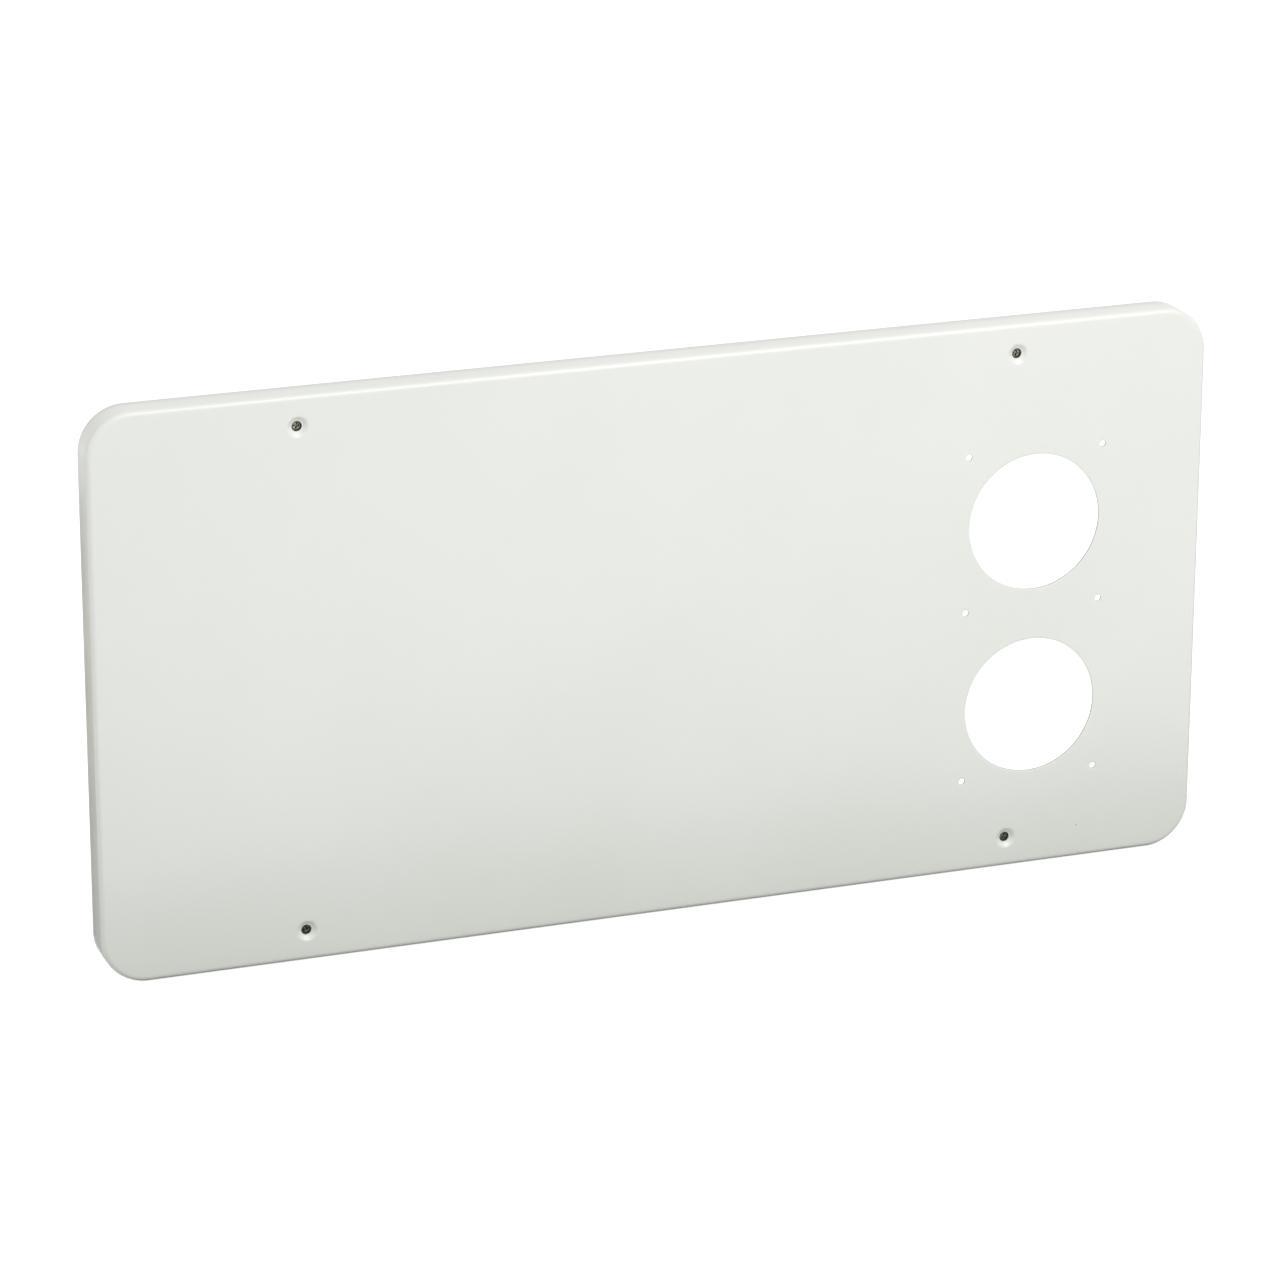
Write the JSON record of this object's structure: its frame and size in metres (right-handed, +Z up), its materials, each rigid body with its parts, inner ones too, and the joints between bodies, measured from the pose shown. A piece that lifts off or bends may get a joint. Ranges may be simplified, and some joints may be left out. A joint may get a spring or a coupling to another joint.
{
  "type": "rv furnace access door",
  "caption": "Flanged white sheet-metal furnace access door with rounded corners, captive screws behind dished driver holes, and round vent cut-outs with pilot holes beside them.",
  "frame": {"origin": "middle of the flange's rim, in the plane that meets the wall", "axes": "+X to the right seen from outside, +Y into the wall, +Z up; the painted face looks along -Y"},
  "size_m": [0.5206, 0.015, 0.259],
  "materials": {
    "white_enamel": "semi-gloss white baked enamel",
    "screw_steel": "dark plated steel",
    "retainer_steel": "grey plated steel"
  },
  "bodies": {
    "root": {"door_panel": "white_enamel", "fixing_screw_upper_left": "screw_steel", "fixing_screw_upper_right": "screw_steel", "fixing_screw_lower_left": "screw_steel", "fixing_screw_lower_right": "screw_steel", "screw_retainer_upper_left": "retainer_steel", "screw_retainer_upper_right": "retainer_steel", "screw_retainer_lower_left": "retainer_steel", "screw_retainer_lower_right": "retainer_steel"}
  },
  "joints": []
}
